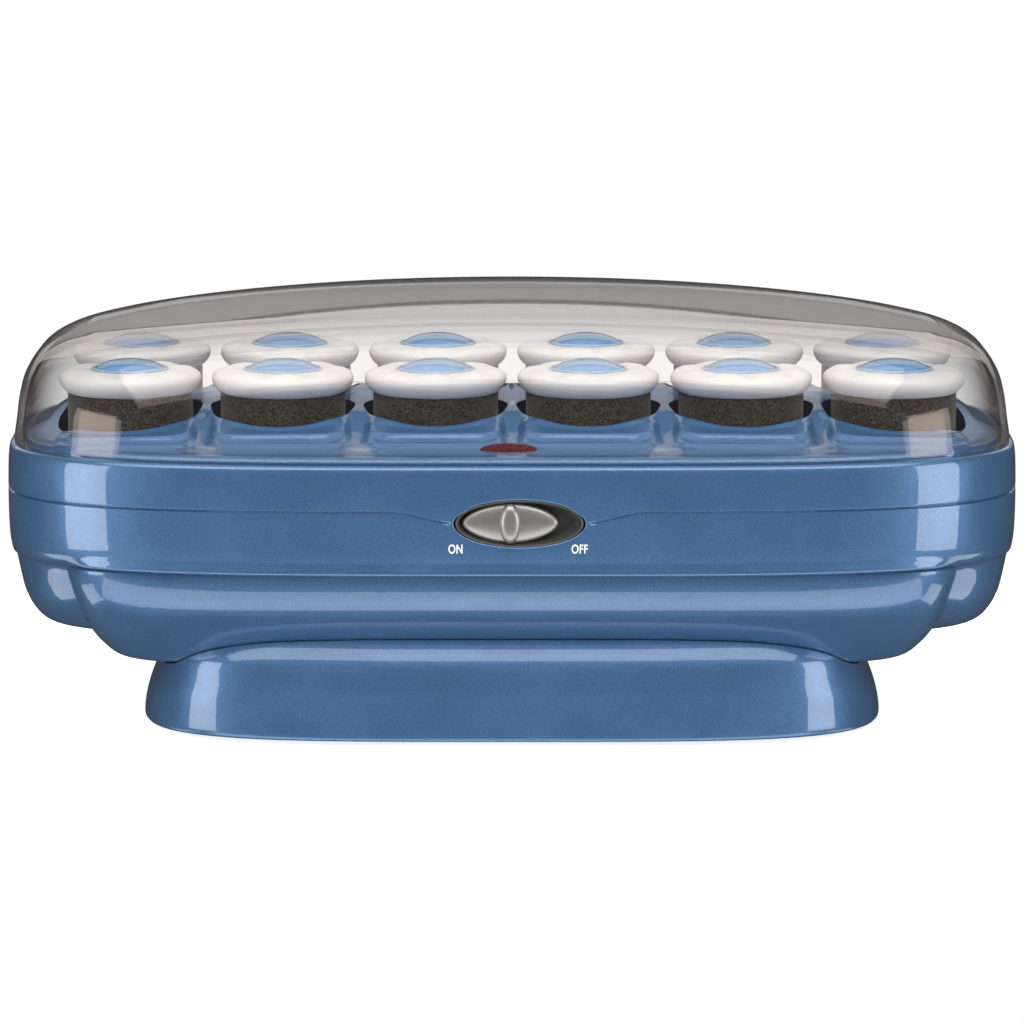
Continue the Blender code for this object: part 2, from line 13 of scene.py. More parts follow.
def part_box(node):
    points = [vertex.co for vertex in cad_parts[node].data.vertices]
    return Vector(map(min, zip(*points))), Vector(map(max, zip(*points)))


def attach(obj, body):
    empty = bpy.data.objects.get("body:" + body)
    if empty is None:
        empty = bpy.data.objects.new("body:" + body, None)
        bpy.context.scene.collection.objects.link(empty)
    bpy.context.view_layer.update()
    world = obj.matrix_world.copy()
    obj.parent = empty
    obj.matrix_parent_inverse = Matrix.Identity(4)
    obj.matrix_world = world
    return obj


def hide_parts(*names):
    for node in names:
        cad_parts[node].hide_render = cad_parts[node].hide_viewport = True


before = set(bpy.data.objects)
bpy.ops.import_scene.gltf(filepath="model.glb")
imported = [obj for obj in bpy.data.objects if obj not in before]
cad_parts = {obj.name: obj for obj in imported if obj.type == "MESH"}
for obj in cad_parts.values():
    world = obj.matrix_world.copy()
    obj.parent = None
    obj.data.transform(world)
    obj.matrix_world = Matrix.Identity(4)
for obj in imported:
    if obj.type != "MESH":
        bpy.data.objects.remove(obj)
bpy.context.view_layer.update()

MM = 0.001
BASE = "base"
LID = "lid"

# Outline tables: (half width, half depth, height) in mm, from the top down
BODY_POWER = 3.6
BODY_POINTS = 480
BAND_OUTLINES = [
    (153.2, 80.4, 86.85),
    (154.0, 81.2, 83.0),
    (154.3, 81.6, 75.0),
    (154.3, 81.6, 65.0),
    (154.0, 81.3, 58.0),
    (153.4, 80.6, 53.6),
]
CHEEK_OUTLINES = [
    (152.8, 75.9, 53.3),
    (152.5, 73.9, 52.4),
    (152.2, 72.3, 50.8),
    (151.7, 71.0, 48.0),
    (151.0, 69.7, 44.4),
    (150.0, 67.0, 40.0),
    (148.3, 62.0, 35.6),
    (145.4, 54.5, 31.4),
    (141.4, 46.0, 29.0),
    (136.0, 38.0, 28.4),
    (124.0, 28.0, 28.4),
]
CASING_OUTLINES = [
    (135.0, 71.6, 53.1),
    (135.6, 72.0, 52.0),
    (134.8, 71.7, 48.0),
    (133.4, 70.7, 43.4),
    (131.9, 68.3, 39.0),
    (130.3, 64.8, 35.0),
    (128.2, 60.0, 30.6),
    (125.2, 55.0, 26.2),
    (120.6, 50.5, 22.2),
    (112.0, 45.5, 20.2),
]
CASING_POWER = 8.0
# Half width, half depth, height, and how square the outline is
PEDESTAL_OUTLINES = [
    (84.0, 50.0, 35.6, 6.0),
    (90.0, 56.5, 34.6, 6.0),
    (94.5, 58.8, 33.0, 6.0),
    (98.0, 60.8, 30.8, 5.8),
    (102.0, 63.1, 27.4, 5.4),
    (106.0, 65.2, 23.0, 5.0),
    (109.2, 66.7, 17.0, 4.4),
    (111.4, 67.0, 12.0, 4.2),
    (112.8, 67.3, 7.0, 4.0),
    (113.4, 67.6, 2.2, 3.9),
    (112.8, 67.2, 1.0, 3.9),
]
WALL = 2.5 * MM
HOUSING_WALL = 1.6 * MM
CLEARANCE = 0.3 * MM

# Band's rounded top edge: how far below its top, and inset
BAND_TOP_ROWS = [
    (0.7, 3.4),
    (0.7, 1.5),
    (0.62, 1.15),
    (0.66, 0.75),
    (0.85, 0.35),
    (1.25, 0.08),
    (1.8, 0.0),
]

# Groove round the band, which dips to the switch: rows as height from its line, and inset
GROOVE_Z = 72.6
GROOVE_DIP = 3.2
GROOVE_REACH = (19.0, 38.0)
GROOVE_DEPTH = 0.5
GROOVE_ROWS = [
    (1.8, 0.0),
    (0.8, 0.0),
    (0.42, 0.06),
    (0.22, GROOVE_DEPTH),
    (0.0, GROOVE_DEPTH + 0.1),
    (-0.22, GROOVE_DEPTH),
    (-0.42, 0.06),
    (-0.8, 0.0),
    (-1.8, 0.0),
]
ABOVE_GROOVE = 2.0
BELOW_GROOVE = 4.0

# Lip over the belly, which fades out at the cheeks: height, inset, and tuck where it has faded
LIP_TOP_Z = 57.8
LIP_OUT = 0.9
LIP_ROWS = [
    (56.9, -0.02, 0.1),
    (56.3, -0.20, 0.25),
    (55.5, -0.55, 0.6),
    (54.7, -LIP_OUT, 1.2),
    (54.1, -LIP_OUT - 0.08, 1.9),
    (53.75, -LIP_OUT + 0.10, 2.5),
    (53.55, -LIP_OUT + 0.7, 3.0),
    (53.45, 1.5, 3.4),
]
LIP_FADE = (122.0, 134.0)
CHEEK_START = (122.0, 132.0)
SHELF_OUTLINE = (151.0, 77.5)
SHELF_TAPER = 13.0
CASING_MOUTH = (133.0, 69.0, 53.1)
CORD_HOLE_RADIUS = 5.3
FOOT_RECESS = (0.3, 2.2)
SCREW_RECESS = (3.3, 3.2)

# Lid: inset from its rim across and along, and rise as a share of the crown's height
LID_RIM = (152.4, 79.4)
LID_BOTTOM_Z = 87.15
LID_WALL = 2.0
LID_CROWN_Z = 129.5
LID_CROWN_RADIUS = 950.0
LID_STEPS = [
    (0.0, 0.0, 0.0),
    (0.9, 2.0, 0.20),
    (1.8, 4.4, 0.42),
    (3.6, 7.8, 0.63),
    (7.7, 13.0, 0.815),
    (14.2, 20.5, 0.915),
    (22.5, 30.0, 0.962),
]
LID_TOP_RINGS = 9

# Deck: outlines between the bosses, and the two tiers of the boss around each front well
DECK_OUTLINES = [
    (149.4, 75.8, 86.6),
    (149.0, 74.4, 87.9),
    (148.4, 70.0, 88.15),
    (147.8, 63.0, 88.35),
    (146.9, 57.0, 88.75),
    (145.2, 51.0, 89.6),
    (143.0, 45.0, 90.9),
    (140.5, 38.0, 93.2),
    (136.0, 31.0, 95.6),
    (128.0, 25.0, 96.5),
]
DECK_POINTS = 600
DECK_RIM_Z = 85.0
DECK_FLOOR_Z = 84.0
DECK_UNDER = [
    (120.0, 20.0, DECK_FLOOR_Z),
    (144.0, 60.0, DECK_FLOOR_Z),
    (144.0, 60.0, DECK_RIM_Z),
    (149.4, 75.8, DECK_RIM_Z),
]
WELL_RADIUS = 22.0
WELL_CUT = [(WELL_RADIUS, 70.0), (WELL_RADIUS, 94.0), (WELL_RADIUS, 110.0)]
WELL_LIP = 0.45
WELL_LIP_FADE = (0.4, 2.2)
TIERS = [(21.4, 28.5, 1.3), (21.8, 34.5, 1.0)]
TIER_FADE = (-31.0, -43.0)
TIER_CORNER = 7.5
TIER_RAMP = 1.5
TIER_SIDE_RAMP = 2.6

# Pilot lamp's lens: shares of its half width and half depth, and height
LENS_POWER = 1.7
LENS_GAP = 0.3
LENS_ROWS = [
    (1.0, 1.0, -2.5),
    (1.0, 1.0, -0.1),
    (0.98, 0.97, 0.12),
    (0.86, 0.84, 0.35),
    (0.62, 0.60, 0.62),
    (0.30, 0.30, 0.78),
]

# Hinge: the lid's knuckle stands between the deck's two, each reach measured from its middle
KNUCKLE_RADIUS = 2.6
KNUCKLE_BORE = 1.5
LID_KNUCKLE_REACH = 7.0
LID_BORE_REACH = 8.0
LID_NOTCH = (6.7, 14.0)
LID_NOTCH_GAP = 0.45
BASE_KNUCKLE = (7.3, 13.3)
PIN_ROWS = [(0.9, -12.9), (1.2, -12.6), (1.2, 12.6), (0.9, 12.9)]

# Rollers, as (radius, height) at the height of the front row
BARREL_BOTTOM_Z = 59.8
BARREL_PROFILE = [
    (10.4, 60.2),
    (10.8, BARREL_BOTTOM_Z),
    (18.5, BARREL_BOTTOM_Z),
    (19.0, 60.3),
    (19.0, 72.0),
    (19.0, 86.0),
    (19.0, 100.5),
    (18.5, 101.0),
    (10.8, 101.0),
    (10.4, 100.6),
]
DOME_PROFILE = [
    (10.9, 107.1),
    (10.9, 107.7),
    (10.5, 108.35),
    (9.5, 109.15),
    (8.0, 109.85),
    (6.2, 110.4),
    (4.2, 110.8),
    (2.1, 111.0),
    (0.7, 111.05),
]
DOME_RIM_PROFILE = [
    (10.95, 107.1),
    (11.75, 107.1),
    (11.8, 107.9),
    (11.5, 108.45),
    (11.05, 108.55),
    (10.95, 108.1),
]
# Caps from the underside of the collar up: radius, height, share of the ribs' depth, lobes' lift
CAP_RIBS = 150
RIB_DEPTH = 0.07
CAP_LOBES = 8
CAP_ROWS = [
    (11.0, 101.1, 0.0, 0.0),
    (18.7, 101.1, 0.0, 0.0),
    (19.05, 101.25, 0.0, 0.0),
    (19.45, 101.5, 0.0, 0.0),
    (20.1, 102.1, 0.5, 0.0),
    (20.75, 102.85, 1.0, 0.0),
    (21.2, 103.6, 1.0, 0.0),
    (21.5, 104.4, 1.0, 0.0),
    (21.62, 105.2, 1.0, 0.0),
    (21.5, 105.95, 1.0, 0.0),
    (21.1, 106.6, 0.6, 0.0),
    (20.3, 107.0, 0.0, 0.3),
    (18.8, 107.25, 0.0, 0.8),
    (16.4, 107.45, 0.0, 1.0),
    (14.0, 107.7, 0.0, 0.6),
    (12.7, 107.9, 0.0, 0.12),
    (12.1, 107.9, 0.0, 0.0),
    (11.9, 107.2, 0.0, 0.0),
    (11.0, 106.9, 0.0, 0.0),
]
ROLLER_TURN = math.radians(37)

# Switch: bezel as (growth, height), knob as (share, height), grip as (half width, half height, out)
APERTURE = (19.2, 7.4)
APERTURE_BORDER = 0.4
APERTURE_EDGE = [(0.0, APERTURE_BORDER), (0.12, 0.28), (0.3, 0.12), (1.2, 0.0)]
SWITCH_FACE_Y = -80.0 * MM
BEZEL_ROWS = [
    (-0.9, -4.0),
    (-0.3, -4.0),
    (-0.3, 0.9),
    (-0.35, 1.25),
    (-0.6, 1.4),
    (-0.9, 1.25),
    (-1.1, 0.6),
    (-1.8, -1.6),
    (-3.0, -2.6),
]
BEZEL_SLOT = ((-9.0, -2.2, -6.0), (9.0, 2.2, -1.0))
KNOB_POWER = 1.75
KNOB_ROWS = [
    (1.0, -2.2),
    (1.0, -0.5),
    (0.985, -0.1),
    (0.93, 0.3),
    (0.82, 0.65),
    (0.66, 0.95),
    (0.46, 1.15),
    (0.24, 1.26),
]
GRIP_ROWS = [
    (3.2, 6.1, -0.8),
    (3.2, 6.0, 0.7),
    (3.05, 5.7, 1.5),
    (2.6, 5.1, 2.2),
    (1.9, 4.1, 2.65),
    (1.0, 2.6, 2.85),
]
KNOB_STEM = ((-3.0, -1.8, -6.5), (3.0, 1.8, -1.5))

# Labels: each word and the x of its middle, in mm
LABELS = (("ON", -16.6), ("OFF", 19.9))
LABEL_PLACE_YZ = (-81.57, 60.7)
LABEL_SIZE = 3.75
LABEL_RAISE = 0.12
LABEL_WEIGHT = 0.06
LABEL_NARROWING = 0.72

# Small parts, as (radius, height)
CORD_GUARD_PROFILE = [
    (7.0, -10.5),
    (7.0, -7.5),
    (5.0, -7.5),
    (5.0, 3.2),
    (6.4, 3.6),
    (6.6, 4.6),
]
CORD_GUARD_TIP = [(2.6, 12.6), (2.4, 11.5)]
CORD_GUARD_LENGTH = 12.6
CORD_RIBS = 4
CORD_RIB_START = 5.5
CORD_RIB_PITCH = 1.9
SCREW_PROFILE = [
    (1.2, 1.3),
    (2.6, 1.4),
    (3.0, 1.8),
    (3.0, 2.7),
    (1.6, 2.7),
    (1.6, 29.4),
    (1.1, 30.0),
]
CROSS_SLOTS = ((2.2, 0.4), (0.4, 2.2))

# Stage, in metres and watts
FLOOR_RADIUS = 0.26
LIGHTS_AIM = (0, 0, 0.08)
LIGHTS = [
    ("front_softbox", (0, -0.72, 1.20), (2.3, 1.0), 25),
    ("low_card", (0, -0.75, -0.68), (2.4, 0.70), 12),
    ("top_softbox", (0, 0.45, 1.5), (2.0, 1.0), 6),
    ("back_softbox", (0, 1.6, 0.93), (2.4, 0.95), 6.5),
    ("back_card", (0, 1.8, 0.34), (2.6, 0.24), 0.7),
]
SIDE_LIGHTS = [
    ("side_softbox", (1.25, -0.69, 0.13), (0.58, 0.92), 8),
    ("low_side_card", (0.93, -0.05, -0.57), (0.55, 0.32), 1.5),
]
ROOM_LEVEL = 0.30
ROOM_REFLECTED = 0.05
CAMERA_PLACE = (0, -1.5, 0.302)
CAMERA_PITCH = math.radians(90 - 9.17)
CAMERA_LENS = 171.9

# Edges sharper than this many degrees are not smoothed over
SHARP = 35


# ---------------------------------------------------------------- mesh tools


def catmull(rows, steps):
    """A smooth run of tuples through the given ones, with so many steps in each span."""
    rows = [np.array(row, float) for row in rows]
    padded = [2 * rows[0] - rows[1], *rows, 2 * rows[-1] - rows[-2]]
    run = []
    for before, start, end, after in zip(padded, padded[1:], padded[2:], padded[3:]):
        for i in range(steps):
            t = i / steps
            run.append(
                0.5
                * (
                    2 * start
                    + (end - before) * t
                    + (2 * before - 5 * start + 4 * end - after) * t * t
                    + (3 * start - before - 3 * end + after) * t**3
                )
            )
    run.append(rows[-1])
    return run


def outline(half_width, half_depth, power=2.0, count=BODY_POINTS):
    """Points (x, y) in mm spaced evenly along a superellipse, anticlockwise."""
    angles = (np.arange(count * 8) + 0.5) * 2 * math.pi / (count * 8)
    cosine = np.cos(angles)
    sine = np.sin(angles)
    x = half_width * np.sign(cosine) * np.abs(cosine) ** (2 / power)
    y = half_depth * np.sign(sine) * np.abs(sine) ** (2 / power)
    x = np.append(x, x[0])
    y = np.append(y, y[0])
    travel = np.concatenate([[0], np.cumsum(np.hypot(np.diff(x), np.diff(y)))])
    places = np.arange(count) * travel[-1] / count
    return np.column_stack([np.interp(places, travel, x), np.interp(places, travel, y)])


def flat_ring(half_width, half_depth, height, power=2.0, count=BODY_POINTS):
    """A level ring, as (x, y, z) rows in mm."""
    points = outline(half_width, half_depth, power, count)
    return np.column_stack([points, np.full(len(points), height)])


def turned_ring(radius, height, count=64):
    """A round level ring, as (x, y, z) rows in mm."""
    angles = np.arange(count) * 2 * math.pi / count
    return np.column_stack(
        [radius * np.cos(angles), radius * np.sin(angles), np.full(count, height)]
    )


def add_piece(name, bm, material, sharp=SHARP):
    """Make an object of a bmesh, smooth but for edges sharper than so many degrees."""
    bmesh.ops.recalc_face_normals(bm, faces=bm.faces)
    mesh = bpy.data.meshes.new(name)
    bm.to_mesh(mesh)
    bm.free()
    mesh.shade_smooth()
    mesh.set_sharp_from_angle(angle=math.radians(sharp))
    piece = bpy.data.objects.new(name, mesh)
    bpy.context.scene.collection.objects.link(piece)
    if material:
        mesh.materials.append(material)
    return piece


def skin(bm, rings, closed=False, capped=True):
    """Join rings of equal length by bands; the two ends get a fan each, or close on each other."""
    rows = [[bm.verts.new(Vector(point) * MM) for point in ring] for ring in rings]
    pairs = list(zip(rows, rows[1:]))
    if closed:
        pairs.append((rows[-1], rows[0]))
    for low, high in pairs:
        for i, corner in enumerate(low):
            after = (i + 1) % len(low)
            bm.faces.new((corner, low[after], high[after], high[i]))
    if closed or not capped:
        return
    for row in (rows[0], rows[-1]):
        middle = bm.verts.new(sum((v.co for v in row), Vector()) / len(row))
        for i, corner in enumerate(row):
            bm.faces.new((corner, row[(i + 1) % len(row)], middle))


def loft(name, rings, material=None, closed=False, sharp=SHARP):
    """A body skinned over rings in mm, capped at its ends unless it closes on itself."""
    bm = bmesh.new()
    skin(bm, rings, closed)
    return add_piece(name, bm, material, sharp)


def turned(name, profile, material=None, closed=False, count=64):
    """A body of revolution about Z from (radius, height) pairs in mm."""
    rings = [turned_ring(radius, height, count) for radius, height in profile]
    return loft(name, rings, material, closed)


def turned_at(name, bodies, material=None, count=64):
    """One mesh of several bodies of revolution, each (x, y, profile) in mm."""
    bm = bmesh.new()
    for x, y, profile in bodies:
        rings = [turned_ring(radius, height, count) + (x, y, 0) for radius, height in profile]
        skin(bm, rings)
    return add_piece(name, bm, material)


def block(name, low, high):
    """A plain box between two corners in mm, for cutting and joining."""
    bm = bmesh.new()
    bmesh.ops.create_cube(bm, size=1.0)
    low = Vector(low) * MM
    high = Vector(high) * MM
    for corner in bm.verts:
        shift = Vector([c * s for c, s in zip(corner.co, high - low)])
        corner.co = (low + high) / 2 + shift
    return add_piece(name, bm, None)


def move(piece, matrix):
    """Move a piece's mesh by a matrix in metres."""
    piece.data.transform(matrix)
    return piece


def combine(piece, tool, operation):
    """Cut, join or intersect a piece with a tool, apply the result and delete the tool."""
    step = piece.modifiers.new(operation.lower(), "BOOLEAN")
    step.operation = operation
    step.solver = "EXACT"
    step.object = tool
    graph = bpy.context.evaluated_depsgraph_get()
    result = bpy.data.meshes.new_from_object(piece.evaluated_get(graph))
    piece.modifiers.clear()
    old = piece.data
    piece.data = result
    result.name = old.name
    bpy.data.meshes.remove(old)
    bpy.data.objects.remove(tool, do_unlink=True)
    result.shade_smooth()
    result.set_sharp_from_angle(angle=math.radians(SHARP))
    return piece


def smooth_step(low, high, value):
    """0 up to low, 1 from high on, and an even rise between; low may be the greater."""
    t = np.clip((value - low) / (high - low), 0.0, 1.0)
    return t * t * (3 - 2 * t)


def give(piece, body, slot, *nodes):
    """Set what a piece moves with and hide the CAD nodes that it stands for; the slot is not used.
    """
    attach(piece, body)
    if nodes:
        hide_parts(*nodes)
    return piece


# ---------------------------------------------------------------- finishes


class Nodes:
    """Short calls for building one material's node tree."""

    def __init__(self, name):
        self.material = bpy.data.materials.new(name)
        self.material.use_nodes = True
        self.tree = self.material.node_tree
        self.shader = self.tree.nodes["Principled BSDF"]
        self.place = self.add("ShaderNodeTexCoord").outputs["Object"]

    def add(self, kind, **settings):
        node = self.tree.nodes.new(kind)
        for key, value in settings.items():
            setattr(node, key, value)
        return node

    def link(self, source, target):
        self.tree.links.new(source, target)

    def set(self, **values):
        """Uniform values straight on the shader's sockets, spaces in a socket's name as _."""
        for key, value in values.items():
            self.shader.inputs[key.replace("_", " ")].default_value = value

    def noise(self, size, detail=2.0, roughness=0.5, stretch=(1, 1, 1)):
        """Noise whose blobs are about size mm across."""
        mapping = self.add("ShaderNodeMapping")
        mapping.inputs["Scale"].default_value = stretch
        self.link(self.place, mapping.inputs["Vector"])
        texture = self.add("ShaderNodeTexNoise")
        texture.inputs["Scale"].default_value = 1 / (size * MM)
        texture.inputs["Detail"].default_value = detail
        texture.inputs["Roughness"].default_value = roughness
        self.link(mapping.outputs["Vector"], texture.inputs["Vector"])
        return texture.outputs["Fac"]

    def speckle(self, size):
        """A random value in each cell about size mm across."""
        texture = self.add("ShaderNodeTexVoronoi")
        texture.inputs["Scale"].default_value = 1 / (size * MM)
        self.link(self.place, texture.inputs["Vector"])
        split = self.add("ShaderNodeSeparateColor")
        self.link(texture.outputs["Color"], split.inputs["Color"])
        return split.outputs["Red"]

    def remap(self, source, low, high, start=0.3, end=0.7):
        node = self.add("ShaderNodeMapRange")
        node.inputs["From Min"].default_value = start
        node.inputs["From Max"].default_value = end
        node.inputs["To Min"].default_value = low
        node.inputs["To Max"].default_value = high
        self.link(source, node.inputs["Value"])
        return node.outputs["Result"]

    def blend(self, factor, first, second):
        """Mix two colours by a factor; each is an RGB triple or a socket."""
        node = self.add("ShaderNodeMix", data_type="RGBA")
        self.link(factor, node.inputs[0])
        for socket, value in ((node.inputs[6], first), (node.inputs[7], second)):
            if isinstance(value, tuple):
                socket.default_value = (*value, 1.0)
            else:
                self.link(value, socket)
        return node.outputs[2]

    def colour(self, source):
        self.link(source, self.shader.inputs["Base Color"])

    def rough(self, source, low, high):
        self.link(self.remap(source, low, high), self.shader.inputs["Roughness"])

    def bump(self, source, height, strength=1.0):
        """Relief of so many mm between the lowest and the highest value."""
        node = self.add("ShaderNodeBump")
        node.inputs["Distance"].default_value = height * MM
        node.inputs["Strength"].default_value = strength
        self.link(source, node.inputs["Height"])
        self.link(node.outputs["Normal"], self.shader.inputs["Normal"])


def scaled(color, factor):
    return tuple(c * factor for c in color)


def paint(name, color, metallic, roughness, flake=0.18):
    """Pearl lacquer: metal flakes under a clear coat, with slow unevenness in tone and polish."""
    n = Nodes(name)
    n.set(Metallic=metallic, Coat_Weight=1.0, Coat_Roughness=0.03, IOR=1.5)
    sparkle = n.remap(n.speckle(flake), 0.0, 1.0, 0.1, 0.9)
    cloud = n.noise(18.0, 3.0)
    tone = n.blend(sparkle, scaled(color, 0.8), scaled(color, 1.25))
    n.colour(n.blend(n.remap(cloud, 0.0, 0.12, 0.2, 0.8), tone, scaled(color, 1.3)))
    n.rough(cloud, roughness * 0.85, roughness * 1.15)
    n.bump(n.noise(0.35, 2.0), 0.006, 0.35)
    return n.material


def moulded(name, color, roughness, grain=0.3, relief=0.01, variation=0.12, **values):
    """Moulded plastic or rubber: fine grain, faint clouding and uneven gloss."""
    n = Nodes(name)
    n.set(**values)
    cloud = n.noise(6.0, 3.0)
    n.colour(n.blend(cloud, scaled(color, 1 - variation), scaled(color, 1 + variation)))
    n.rough(n.noise(1.5, 4.0), roughness * 0.8, roughness * 1.2)
    n.bump(n.noise(grain, 3.0), relief, 0.6)
    return n.material


def metal(name, color, roughness, stretch=(1, 1, 1), grain=0.25, relief=0.01, metallic=1.0):
    """Metal with a drawn or cast grain."""
    n = Nodes(name)
    n.set(Metallic=metallic)
    lines = n.noise(grain, 4.0, 0.6, stretch)
    n.colour(n.blend(n.noise(4.0, 3.0), scaled(color, 0.85), scaled(color, 1.1)))
    n.rough(lines, roughness * 0.75, roughness * 1.3)
    n.bump(lines, relief, 0.6)
    return n.material


def flock_finish():
    """Short fibres: dark speckle in browns and greys, with a soft sheen."""
    n = Nodes("flock_fibres")
    n.set(Specular_IOR_Level=0.15, Sheen_Weight=0.35, Sheen_Roughness=0.4)
    fibres = n.remap(n.speckle(0.45), 0.0, 1.0, 0.1, 0.9)
    fine = n.blend(fibres, (0.008, 0.007, 0.005), (0.100, 0.088, 0.070))
    patches = n.remap(n.noise(1.2, 2.0), 0.0, 1.0)
    brown = n.blend(patches, (0.055, 0.038, 0.024), (0.04, 0.038, 0.034))
    n.colour(n.blend(n.remap(n.noise(0.7, 2.0), 0.05, 0.5), fine, brown))
    n.rough(fibres, 0.85, 1.0)
    n.bump(n.noise(0.25, 3.0), 0.16, 0.9)
    return n.material


def cap_finish():
    """Milky plastic that lets a little light in."""
    n = Nodes("cap_milky")
    n.set(Subsurface_Weight=0.4, Subsurface_Radius=(0.004, 0.0035, 0.003), Subsurface_Scale=1.0)
    n.set(Coat_Weight=0.1, Coat_Roughness=0.2)
    n.colour(n.blend(n.noise(5.0, 3.0), (0.70, 0.685, 0.665), (0.78, 0.765, 0.75)))
    n.rough(n.noise(1.0, 3.0), 0.32, 0.48)
    n.bump(n.noise(0.3, 3.0), 0.008, 0.5)
    return n.material


def smoked_finish():
    """Brown smoke-tinted clear shell: thin face on, denser where it is seen along its wall."""
    n = Nodes("lid_smoke")
    n.set(Metallic=0.9, IOR=2.2, Coat_Weight=0.3, Coat_Roughness=0.03)
    cloud = n.noise(25.0, 2.0)
    n.colour(n.blend(cloud, (0.36, 0.29, 0.26), (0.42, 0.34, 0.30)))
    n.rough(n.noise(3.0, 4.0), 0.03, 0.07)
    n.bump(n.noise(14.0, 1.0), 0.02, 0.3)
    facing = n.add("ShaderNodeLayerWeight")
    facing.inputs["Blend"].default_value = 0.35
    rise = n.add("ShaderNodeMath", operation="POWER")
    rise.inputs[1].default_value = 2.4
    n.link(facing.outputs["Facing"], rise.inputs[0])
    density = n.remap(rise.outputs["Value"], 0.08, 1.0, 0.0, 0.75)
    haze = n.remap(n.noise(0.6, 3.0), -0.01, 0.01)
    total = n.add("ShaderNodeMath", operation="ADD", use_clamp=True)
    n.link(density, total.inputs[0])
    n.link(haze, total.inputs[1])
    n.link(total.outputs["Value"], n.shader.inputs["Alpha"])
    return n.material


def dome_finish():
    """Tinted glossy dome whose tone varies at random."""
    n = Nodes("dome_tint")
    n.set(Coat_Weight=1.0, Coat_Roughness=0.02, IOR=1.5)
    n.colour(n.blend(n.noise(3.0, 3.0), (0.090, 0.265, 0.50), (0.150, 0.36, 0.62)))
    n.rough(n.noise(1.2, 3.0), 0.08, 0.16)
    n.bump(n.noise(0.6, 2.0), 0.006, 0.4)
    return n.material


def clear_finish(name, tint, alpha):
    """Clear plastic or glass with faint streaks."""
    n = Nodes(name)
    n.set(Coat_Weight=1.0, Coat_Roughness=0.02)
    n.colour(n.blend(n.noise(2.0, 3.0), scaled(tint, 0.9), tint))
    n.rough(n.noise(1.0, 3.0), 0.03, 0.10)
    n.bump(n.noise(0.8, 2.0), 0.006, 0.4)
    facing = n.add("ShaderNodeLayerWeight")
    facing.inputs["Blend"].default_value = 0.4
    n.link(n.remap(facing.outputs["Facing"], alpha, 0.85, 0.0, 1.0), n.shader.inputs["Alpha"])
    return n.material


PEARL = paint("pearl_blue_paint", (0.057, 0.137, 0.275), 0.5, 0.40)
DECK_BLUE = paint("deck_gloss", (0.060, 0.170, 0.360), 0.25, 0.34, flake=0.14)
SMOKE = smoked_finish()
FLOCK = flock_finish()
CAP = cap_finish()
DOME = dome_finish()
DOME_EDGE = clear_finish("dome_rim_clear", (0.55, 0.75, 0.95), 0.35)
SATIN = metal("knob_satin", (0.35, 0.33, 0.32), 0.36, (1, 1, 6), metallic=0.75)
DARK = moulded("dark_moulded", (0.040, 0.042, 0.038), 0.42)
LENS = moulded("lens_red", (0.085, 0.003, 0.006), 0.25, relief=0.004, Specular_IOR_Level=0.2)
STEEL = metal("steel_drawn", (0.60, 0.60, 0.60), 0.28, (1, 12, 12))
ALUMINIUM = metal("aluminium_cast", (0.55, 0.56, 0.57), 0.45, grain=0.8, relief=0.05)
CERAMIC = moulded("ceramic_sleeve", (0.75, 0.72, 0.66), 0.45, grain=0.5, relief=0.03)
RUBBER = moulded("rubber_matt", (0.022, 0.022, 0.022), 0.75, grain=0.4, relief=0.04)
GLASS = clear_finish("lamp_glass", (0.95, 0.70, 0.50), 0.25)
PRINT = moulded("label_print", (0.78, 0.80, 0.80), 0.5, grain=0.15, relief=0.004)


# ---------------------------------------------------------------- body


def groove_height(x):
    """Height of the band's groove, which dips to the tips of the switch's opening."""
    away = np.abs(x - SWITCH.x / MM)
    return GROOVE_Z - GROOVE_DIP * (1 - smooth_step(*GROOVE_REACH, away))


def band_ring(height, inset=0.0, tuck=0.0):
    """A level ring of the band in mm: an inset draws it in, a tuck only its front and back."""
    heights, widths, depths = BAND_TABLE
    half_width = np.interp(height, heights, widths)
    half_depth = np.interp(height, heights, depths)
    return flat_ring(half_width - inset, half_depth - inset - tuck, height, BODY_POWER)


def make_housing():
    """The band with its groove and lip, down to the cheeks, as an open skin with a wall."""
    top_z = BAND_OUTLINES[0][2]
    rings = [band_ring(top_z - drop, inset) for drop, inset in BAND_TOP_ROWS]
    edge_z = top_z - BAND_TOP_ROWS[-1][0]
    for share in np.linspace(0, 1, 10)[1:-1]:
        rings.append(band_ring(edge_z + share * (GROOVE_Z + ABOVE_GROOVE - edge_z)))
    for offset, inset in GROOVE_ROWS:
        rings.append(dipped(band_ring(GROOVE_Z + offset, inset)))
    start_z = GROOVE_Z - BELOW_GROOVE
    for share in np.linspace(0, 1, 14):
        rings.append(dipped(band_ring(start_z + share * (LIP_TOP_Z - start_z)), 1 - share))
    for z, inset, tuck in LIP_ROWS:
        lipped = band_ring(z, inset)
        smooth = band_ring(z, 0.0, tuck)
        share = smooth_step(*LIP_FADE, np.abs(smooth[:, 0]))[:, None]
        rings.append(lipped * (1 - share) + smooth * share)
    rings += under_rows(rings[-1])
    bm = bmesh.new()
    skin(bm, rings, capped=False)
    open_aperture(bm)
    housing = add_piece("housing_shell", bm, PEARL, sharp=50)
    if housing.data.polygons[0].normal.z < 0:
        housing.data.flip_normals()
    thickness = housing.modifiers.new("wall", "SOLIDIFY")
    thickness.thickness = HOUSING_WALL
    thickness.offset = -1.0
    give(housing, BASE, "pearl_blue", "upper_housing")


